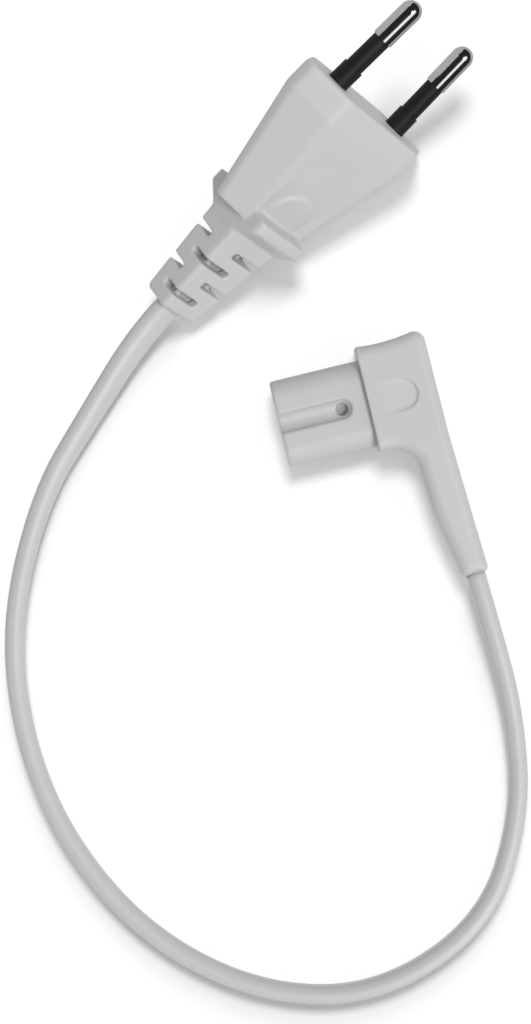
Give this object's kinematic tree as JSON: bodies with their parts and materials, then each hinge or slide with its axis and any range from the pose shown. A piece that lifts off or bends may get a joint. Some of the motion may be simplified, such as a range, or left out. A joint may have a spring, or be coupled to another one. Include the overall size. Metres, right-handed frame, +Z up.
{
  "type": "power cord",
  "caption": "Short flat-cord mains lead with a flat round-pin plug at one end and a right-angle figure-eight appliance connector at the other.",
  "frame": {"origin": "on the floor under the middle of the box around the plug and the connector", "axes": "+Z up from the floor, +Y along the longer side of the box around the plug and the connector, towards the plug's pins"},
  "size_m": [0.0927, 0.1737, 0.0299],
  "materials": {
    "body_grey": "soft moulded plastic, faint spark-eroded texture",
    "insert_grey": "harder moulded plastic with a slight sheen",
    "cord_grey": "smooth flexible sheath",
    "sleeve_black": "black insulating plastic",
    "pin_nickel": "bright nickel plate",
    "contact_metal": "plain rolled brass",
    "copper": "bare stranded copper",
    "core_brown": "brown core insulation",
    "core_blue": "blue core insulation"
  },
  "bodies": {
    "root": {"connector_cord_tail": "cord_grey", "connector_core_left": "core_brown", "connector_core_right": "core_blue", "connector_housing": "body_grey", "connector_strands_left": "copper", "connector_strands_right": "copper", "cord_run": "cord_grey", "nose_insert": "insert_grey", "pin_carrier": "sleeve_black", "plug_body": "body_grey", "plug_cord_tail": "cord_grey", "plug_core_left": "core_brown", "plug_core_right": "core_blue", "plug_pin_left": "pin_nickel", "plug_pin_right": "pin_nickel", "plug_strands_left": "copper", "plug_strands_right": "copper", "socket_contact_left": "contact_metal", "socket_contact_right": "contact_metal"}
  },
  "joints": []
}
